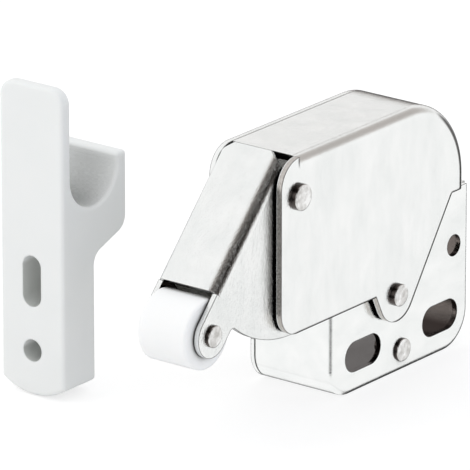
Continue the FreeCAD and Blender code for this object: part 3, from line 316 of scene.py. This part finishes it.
def moulded_nylon(name, colour, shade, roughness, translucency, recess, shade_tone, groove=None,
                  own_only=False):
    """White nylon from a spark eroded mould: a fine satin skin that lets a little light through."""
    material, tree, shader, place, _ = new_material(name)
    cloud = add(tree, "ShaderNodeTexNoise",
                {"Vector": place, "Scale": per_metre(NYLON_CLOUD_MM), "Detail": 2.0,
                 "Roughness": 0.5}).outputs["Fac"]
    skin = add(tree, "ShaderNodeTexNoise",
               {"Vector": place, "Scale": per_metre(NYLON_SKIN_MM), "Detail": 3.0,
                "Roughness": 0.6}).outputs["Fac"]
    surface = add(tree, "ShaderNodeMix", {"Factor": cloud, "A": shade, "B": colour},
                  data_type="RGBA").outputs["Result"]
    if groove:
        # painted shade: the roller's groove above this height is painted darker than the screw holes
        height_mm, groove_shade_tone = groove
        height = add(tree, "ShaderNodeSeparateXYZ", {0: place}).outputs["Z"]
        high = add(tree, "ShaderNodeMapRange",
                   {"Value": height, "From Min": (height_mm - GROOVE_BLEND_MM) * MM,
                    "From Max": (height_mm + GROOVE_BLEND_MM) * MM},
                   interpolation_type="SMOOTHSTEP").outputs[0]
        shade_tone = add(tree, "ShaderNodeMix", {"Factor": high, "A": shade_tone, "B": groove_shade_tone},
                    data_type="RGBA").outputs["Result"]
    surface = painted_shade(tree, surface, shade_tone, *recess, own_only)
    tree.links.new(surface, shader.inputs["Base Color"])
    satin = add(tree, "ShaderNodeMapRange",
                {"Value": skin, "From Min": 0.3, "From Max": 0.7,
                 "To Min": roughness - 0.05, "To Max": roughness + 0.05})
    tree.links.new(satin.outputs[0], shader.inputs["Roughness"])
    rounded = add(tree, "ShaderNodeBevel", {"Radius": NYLON_EDGE_MM * MM}, samples=SOFT_SAMPLES)
    bump = add(tree, "ShaderNodeBump", {"Height": skin, "Normal": rounded.outputs[0], "Strength": 0.4,
                                        "Distance": NYLON_SKIN_DEPTH_MM * MM})
    tree.links.new(bump.outputs[0], shader.inputs["Normal"])
    shader.inputs["Subsurface Weight"].default_value = translucency
    shader.inputs["Subsurface Scale"].default_value = 1.0 * MM
    shader.inputs["Subsurface Radius"].default_value = (1.0, 0.95, 0.9)
    shader.inputs["IOR"].default_value = NYLON_IOR
    return material


# The near plate's front cut shines half torn; the cuts of slots and hole are painted almost black, as
# painted shade.
PLATE_CUT_BOX_MM = ((7.65, -40, 0), (8.6, 20, 50))
SLOT_CUT_BOX_MM = ((6.15, -14.4, 1.2), (6.95, 14.4, 18))
PAN_CENTRE_MM = (-0.5, 0, 12)
PAN_RIM_MM = -6.5
PAN_DEEP_MM = -3.5
CHANNEL_CENTRE_MM = (2.1, -33, 27)
CASE_REAR_CUT = (0, 0.92, -0.39)     # where the slanted rear cut of the near plate looks
GROOVE_ABOVE_MM = 24

# painted shade: a dark rim along the slanted rear cut of the near plate
case_steel = plated_sheet(
    "nickel_plated_case_sheet", "#f7f8f7", "#f1f3f2", grain_axis=Z_AXIS, roughness=0.17,
    ripple_mm=2.6, ripple_depth_mm=0.035, grain_depth_mm=0.022,
    cuts=[(*PLATE_CUT_BOX_MM, "#e8e4df", "#8a8480")], line=(0.985, 0.90), rim_shade=(CASE_REAR_CUT, 0.55))
# painted shade: the walls inside the pan are painted dark brown grey, darkest where they look up
bracket_steel = plated_sheet(
    "nickel_plated_bracket_sheet", "#f9faf9", "#f3f5f4", grain_axis=Y_AXIS, roughness=0.18,
    ripple_mm=3.2, ripple_depth_mm=0.04, grain_depth_mm=0.02,
    cuts=[(*SLOT_CUT_BOX_MM, "#2a2221", "#151010")],
    pan=(PAN_CENTRE_MM, PAN_RIM_MM, PAN_DEEP_MM, "#756d69", "#38312f"))
# painted shade: the faces inside the arm's channel are painted dull brown grey
arm_steel = plated_sheet(
    "nickel_plated_arm_sheet", "#f5f6f5", "#eff1f0", grain_axis=Z_AXIS, roughness=0.16,
    ripple_mm=2.2, ripple_depth_mm=0.06, grain_depth_mm=0.045, hollow=(CHANNEL_CENTRE_MM, "#433b37"))
pin_steel = tumbled_steel("barrel_nickel_plated_pins", "#f7f7f6", "#c4c2bf", roughness=0.15,
                          dent_mm=0.6, dent_depth_mm=0.06)
# zinc on the turned pieces is greyer and duller than the nickel, with hardly a dent
sleeve_steel = tumbled_steel("zinc_plated_turned_sleeves", "#c9c9c7", "#9a9a9b", roughness=0.34,
                             dent_mm=0.5, dent_depth_mm=0.01)
spring_wire = drawn_wire("drawn_spring_wire", "#a6a7aa", "#6f7074", roughness=0.28,
                         line_mm=0.25, line_depth_mm=0.01)
# the dark tone each nylon gets in its recesses is painted shade
roller_nylon = moulded_nylon("satin_moulded_nylon_roller", "#f7f7f7", "#f2f3f2", roughness=0.38,
                             translucency=0.25, recess=(2.0, 0.35, 0.88), shade_tone="#3a3633")
# the cam is natural nylon, a little yellow; the strike's skin is duller than the roller's
cam_nylon = moulded_nylon("satin_moulded_nylon_cam", "#e9e8e2", "#dedcd4", roughness=0.42,
                          translucency=0.2, recess=(2.0, 0.0, 0.8), shade_tone="#8a8781")
strike_nylon = moulded_nylon("satin_moulded_nylon_strike", "#ebeceb", "#e6e8e7", roughness=0.50,
                             translucency=0.15, recess=(9.0, 0.60, 0.97), shade_tone="#c6c8c5",
                             groove=(GROOVE_ABOVE_MM, "#5e605d"), own_only=True)

LOOKS = {
    case_steel: ["case_shell", "case_cover"],
    bracket_steel: ["mounting_bracket"],
    arm_steel: ["roller_arm"],
    pin_steel: ["case_rivet", "anchor_rivet", "arm_pin", "roller_pin"],
    sleeve_steel: ["case_collar", "spacer_sleeve", "arm_sleeve", "arm_washer"],
    spring_wire: ["follower_wire"],
    roller_nylon: ["roller"],
    cam_nylon: ["heart_cam"],
    strike_nylon: ["strike"],
}
for material, names in LOOKS.items():
    for name in names:
        for material_slot in nodes[name].material_slots:
            material_slot.material = material


# Springs: the first turns stay with the case, the last one goes round with what it pushes

FIXED_BODY = "bracket"
STEPS_A_TURN = 36
RING_CORNERS = 14
HOOK_STEPS = 6
WIRE_CHAMFER_MM = 0.12
TIP_SHARE = 0.75
RING_DEPTH_MM = 0.02
MERGE_MM = 0.001
SMOOTH_BELOW_DEG = 40
# round the arm's pin: the arm turns by 54 degrees
ARM_COIL = {"axis": (-25.3, 32.9), "radius": 2.9, "pitch": 1.3065, "first_x": 1.7, "first_deg": 97.27,
            "turns": 3.0617, "moving": 0.8, "overlap": 60 / 360, "wire": 0.9, "inner_wire": 0.88}
ARM_COIL_CASE_END = (1.7, -15.3, 37.1)
ARM_COIL_ARM_END = (5.7, -32.089, 32.394)
# round the case's rivet: the wire in the lane turns back by 7.4 degrees
WIRE_COIL = {"axis": (-2.75, 12.5), "radius": 2.4, "pitch": 0.797, "first_x": 3.65, "first_deg": 12.45,
             "turns": 2.1831, "moving": 0.6, "overlap": 3 / 360, "wire": 0.5, "inner_wire": 0.45}
WIRE_COIL_CASE_END = (3.65, 1.75, 3.25)
WIRE_COIL_CORNER = (5.39, -11.4509, 16.7388)
WIRE_COIL_HOOK_X = 2.0


def on_coil(coil, turn):
    """The wire's centre after some turns, in metres, and the way it heads there."""
    angle = math.radians(coil["first_deg"]) + math.tau * turn
    centre = Vector((coil["first_x"] + coil["pitch"] * turn,
                     coil["axis"][0] + coil["radius"] * math.cos(angle),
                     coil["axis"][1] + coil["radius"] * math.sin(angle))) * MM
    return centre, Vector((0, -math.sin(angle), math.cos(angle)))


def select_ring(piece, centre, heading, reach):
    """Goes into edit mode with one ring of the wire selected, by its place."""
    for parts in (piece.data.edges, piece.data.polygons):
        for part in parts:
            part.select = False
    for vertex in piece.data.vertices:
        away = vertex.co - centre
        vertex.select = away.length < reach and abs(away.dot(heading)) < RING_DEPTH_MM * MM
    bpy.ops.object.mode_set(mode="EDIT")
    bpy.ops.mesh.select_mode(type="VERT")


def run_on(step):
    """Draws the selected ring on by a step."""
    bpy.ops.mesh.extrude_region_move(TRANSFORM_OT_translate={"value": step})


def origin_to(place):
    scene.cursor.location = place
    bpy.ops.object.origin_set(type="ORIGIN_CURSOR")


def draw_leg(start, end, bend, hook_x_mm):
    """Runs the selected ring on straight, round a hook where there is one, to a small chamfer."""
    run = end - start
    if hook_x_mm is not None:
        heading = run.normalized()
        across = Vector((-1, 0, 0))
        run_on(run - heading * bend)
        bpy.ops.mesh.spin(steps=HOOK_STEPS, angle=math.pi / 2, center=end + (across - heading) * bend,
                          axis=heading.cross(across))
        run = across * (end.x - hook_x_mm * MM - bend)
        end = Vector((hook_x_mm * MM, end.y, end.z))
    chamfer = run.normalized() * WIRE_CHAMFER_MM * MM
    run_on(run - chamfer)
    run_on(chamfer)
    bpy.ops.transform.resize(value=(TIP_SHARE, TIP_SHARE, TIP_SHARE), center_override=end)


def wind(piece, coil, turns):
    """Winds the wire's first ring round the coil's axis."""
    rounds = math.ceil(turns)
    winding = piece.modifiers.new("winding", "SCREW")
    winding.axis = "X"
    winding.angle = math.tau * turns / rounds
    winding.screw_offset = coil["pitch"] * MM * turns / rounds
    winding.iterations = rounds
    winding.steps = winding.render_steps = round(STEPS_A_TURN * turns / rounds)
    bpy.ops.object.modifier_apply(modifier=winding.name)


def spring_part(name, node, coil, body, end_mm, hook_x_mm=None):
    """The turns of a coil that ride with one body, with their straight leg."""
    split = coil["turns"] - coil["moving"]
    moves = body != FIXED_BODY
    # the fixed turns are a little thinner, so that their end stays inside the moving one
    if moves:
        first, last, wire_mm = split, coil["turns"], coil["wire"]
    else:
        first, last, wire_mm = 0.0, split + coil["overlap"], coil["inner_wire"]
    start, heading = on_coil(coil, first)
    bpy.ops.object.select_all(action="DESELECT")
    bpy.ops.mesh.primitive_circle_add(vertices=RING_CORNERS, radius=wire_mm / 2 * MM, location=start,
                                      rotation=(math.atan2(-heading.y, heading.z), 0, 0))
    piece = bpy.context.object
    piece.name = name
    bpy.ops.object.transform_apply(location=True, rotation=True, scale=True)
    origin_to((0, coil["axis"][0] * MM, coil["axis"][1] * MM))
    wind(piece, coil, last - first)
    origin_to((0, 0, 0))

    leg_turn, cut_turn = (last, first) if moves else (first, last)
    for turn in (cut_turn, leg_turn):
        centre, heading = on_coil(coil, turn)
        select_ring(piece, centre, heading, wire_mm * MM)
        if turn == leg_turn:
            draw_leg(centre, Vector(end_mm) * MM, coil["wire"] * MM, hook_x_mm)
        bpy.ops.mesh.edge_face_add()
        bpy.ops.object.mode_set(mode="OBJECT")
    bpy.ops.object.mode_set(mode="EDIT")
    bpy.ops.mesh.select_all(action="SELECT")
    bpy.ops.mesh.remove_doubles(threshold=MERGE_MM * MM)
    bpy.ops.mesh.normals_make_consistent(inside=False)
    bpy.ops.object.mode_set(mode="OBJECT")
    bpy.ops.object.shade_smooth_by_angle(angle=math.radians(SMOOTH_BELOW_DEG))
    piece.data.materials.append(spring_wire)
    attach(piece, body)
    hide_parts(node)


spring_part("arm_spring_case_turns", "arm_spring", ARM_COIL, FIXED_BODY, ARM_COIL_CASE_END)
spring_part("arm_spring_arm_turn", "arm_spring", ARM_COIL, "arm", ARM_COIL_ARM_END)
spring_part("follower_spring_case_turns", "follower_spring", WIRE_COIL, FIXED_BODY, WIRE_COIL_CASE_END)
spring_part("follower_spring_wire_turn", "follower_spring", WIRE_COIL, "follower", WIRE_COIL_CORNER,
            WIRE_COIL_HOOK_X)


# Room: white all round, with soft dark cards that reflections show as lines in the bends

# the way to a card, half angle of its core, half angle where it has faded, its brightness
TOWARDS_LENS = (0.576, -0.749, 0.328)
CARDS = [
    (TOWARDS_LENS, 37, 50, 0.10),                # round the opening: bends that face the lens
    ((0.86, -0.08, 0.45), 22, 42, 0.04),         # the bend of the arm
    ((0.15, -0.52, 0.84), 4, 30, 0.30),          # where that bend begins
    ((-0.576, 0.749, -0.328), 10, 33, 0.06),     # opposite the lens: outlines
    ((0.05, 0.80, -0.60), 14, 25, 0.05),         # the lower bends of the bracket
    ((0.30, 0.75, 0.59), 4, 34, 0.56),           # the near fold of the case
    ((-0.43, 0.75, 0.505), 1, 5, 0.25),          # the line where that fold begins
    ((-0.50, 0.75, 0.33), 14, 45, 0.95),         # the roof of the case
]
# the white opening round the lens: half angle, and half angle where it has faded
OPENING_DEG = (14, 26)
# faces with the slots see a slightly blue side of the room, and the cards are warm
SIDE_DIRECTION = (1.0, 0.25, 0.1)
SIDE_TINT = "#f0f4fd"
CARD_TINT = "#d9c6ba"


def disc(tree, direction, towards, core_deg, faded_deg, outside, inside):
    """One value round a direction, another away from it, smooth in between."""
    cosine = add(tree, "ShaderNodeVectorMath", {0: direction, 1: Vector(towards).normalized()},
                 operation="DOT_PRODUCT").outputs["Value"]
    return add(tree, "ShaderNodeMapRange",
               {"Value": cosine, "From Min": math.cos(math.radians(faded_deg)),
                "From Max": math.cos(math.radians(core_deg)), "To Min": outside, "To Max": inside},
               interpolation_type="SMOOTHSTEP").outputs[0]


def reflected_room(tree, direction):
    """What a reflection shows in a direction: white with the dark cards in it."""
    brightness = 1.0
    for towards, core_deg, faded_deg, level in CARDS:
        card = disc(tree, direction, towards, core_deg, faded_deg, 1.0, level)
        brightness = add(tree, "ShaderNodeMath", {0: brightness, 1: card},
                         operation="MULTIPLY").outputs[0]
    opening = disc(tree, direction, TOWARDS_LENS, *OPENING_DEG, 0.0, 1.0)
    return add(tree, "ShaderNodeMath", {0: brightness, 1: opening}, operation="MAXIMUM").outputs[0]


FLOOR_SIZE = 3.0
FLOOR_BELOW = 0.0001
FIBRE_MM = 2.0
SHEET_GLOW = 0.6         # share of the glow that the lens sees; the rest is paper with the shadow
SHEET_WHITE = 1.17       # the glow at which the open sheet comes out white

bpy.ops.object.select_all(action="DESELECT")
bpy.ops.mesh.primitive_plane_add(size=FLOOR_SIZE, location=(0, 0, -FLOOR_BELOW))
floor = bpy.context.object
floor.name = "floor"
material, tree, shader, place, _ = new_material("white_paper_floor")
fibres = add(tree, "ShaderNodeTexNoise", {"Vector": place, "Scale": per_metre(FIBRE_MM), "Detail": 2.0})
paper = add(tree, "ShaderNodeMix", {"Factor": fibres.outputs["Fac"], "A": "#f4f4f4", "B": "#f7f7f7"},
            data_type="RGBA")
tree.links.new(paper.outputs["Result"], shader.inputs["Base Color"])
shader.inputs["Roughness"].default_value = 0.9
# a reflection sees the room go on below the horizon; the lens sees the sheet glow white, with a part
# of the soft shadow that the object throws on it
backwards = add(tree, "ShaderNodeNewGeometry").outputs["Incoming"]
ray = add(tree, "ShaderNodeVectorMath", {0: backwards, "Scale": -1.0}, operation="SCALE").outputs[0]
path = add(tree, "ShaderNodeLightPath").outputs
white = add(tree, "ShaderNodeMath", {0: path["Is Camera Ray"], 1: SHEET_WHITE},
            operation="MULTIPLY").outputs[0]
strength = add(tree, "ShaderNodeMath", {0: reflected_room(tree, ray), 1: white},
               operation="MAXIMUM").outputs[0]
glow = add(tree, "ShaderNodeEmission", {"Strength": strength, "Color": "#ffffff"}).outputs[0]
seen = add(tree, "ShaderNodeMath", {0: path["Is Camera Ray"], 1: SHEET_GLOW},
           operation="MULTIPLY").outputs[0]
direct = add(tree, "ShaderNodeMath", {0: seen, 1: path["Is Glossy Ray"]},
             operation="MAXIMUM").outputs[0]
surface = add(tree, "ShaderNodeMixShader", {0: direct, 1: shader.outputs[0], 2: glow}).outputs[0]
tree.links.new(surface, tree.nodes["Material Output"].inputs["Surface"])
floor.data.materials.append(material)

world = bpy.data.worlds.new("white_studio")
world.use_nodes = True
scene.world = world
sky = world.node_tree
background = sky.nodes["Background"]
direction = add(sky, "ShaderNodeTexCoord").outputs["Generated"]
path = add(sky, "ShaderNodeLightPath").outputs
cards = reflected_room(sky, direction)
level = add(sky, "ShaderNodeMix", {"Factor": path["Is Glossy Ray"], "A": 1.0, "B": cards})
level = add(sky, "ShaderNodeMath", {0: level.outputs["Result"], 1: path["Is Camera Ray"]},
            operation="MAXIMUM").outputs[0]
side = add(sky, "ShaderNodeVectorMath", {0: direction, 1: Vector(SIDE_DIRECTION).normalized()},
           operation="DOT_PRODUCT").outputs["Value"]
side = add(sky, "ShaderNodeMapRange", {"Value": side, "From Min": 0.2}).outputs[0]
shadow = add(sky, "ShaderNodeMath", {0: 1.0, 1: cards}, operation="SUBTRACT").outputs[0]
colour = "#ffffff"
for share, ray_kind, tint in ((side, "Is Diffuse Ray", SIDE_TINT), (shadow, "Is Glossy Ray", CARD_TINT)):
    share = add(sky, "ShaderNodeMath", {0: share, 1: path[ray_kind]}, operation="MULTIPLY").outputs[0]
    colour = add(sky, "ShaderNodeMix", {"Factor": share, "A": colour, "B": tint},
                 data_type="RGBA").outputs["Result"]
sky.links.new(colour, background.inputs["Color"])
sky.links.new(level, background.inputs["Strength"])

KEY_PLACE = Vector((-0.25, -0.35, 0.45))
KEY_TARGET = Vector((0, -0.02, 0.02))
KEY_SIZE = 0.25
KEY_WATTS = 0.4

key_data = bpy.data.lights.new("key_softbox", "AREA")
key_data.size = KEY_SIZE
key_data.energy = KEY_WATTS
key = bpy.data.objects.new("key_softbox", key_data)
key.location = KEY_PLACE
key.rotation_euler = (KEY_TARGET - KEY_PLACE).to_track_quat("-Z", "Y").to_euler()
key.visible_glossy = False
scene.collection.objects.link(key)

# Camera: a long lens, as solved from the photograph's edges

AZIMUTH = math.radians(37.54)
ELEVATION = math.radians(19.165)
LENS_MM = 562.4
SENSOR_MM = 36.0
CAMERA_PLACE = (0.57308, -0.77445, 0.35345)

camera_data = bpy.data.cameras.new("camera")
camera_data.lens = LENS_MM
camera_data.sensor_width = SENSOR_MM
camera_data.clip_start = 0.05
camera_data.clip_end = 10.0
camera = bpy.data.objects.new("camera", camera_data)
camera.location = CAMERA_PLACE
look = Vector((-math.sin(AZIMUTH) * math.cos(ELEVATION), math.cos(AZIMUTH) * math.cos(ELEVATION),
               -math.sin(ELEVATION)))
camera.rotation_mode = "QUATERNION"
camera.rotation_quaternion = look.to_track_quat("-Z", "Y")
scene.collection.objects.link(camera)
scene.camera = camera
scene.view_settings.view_transform = "Standard"
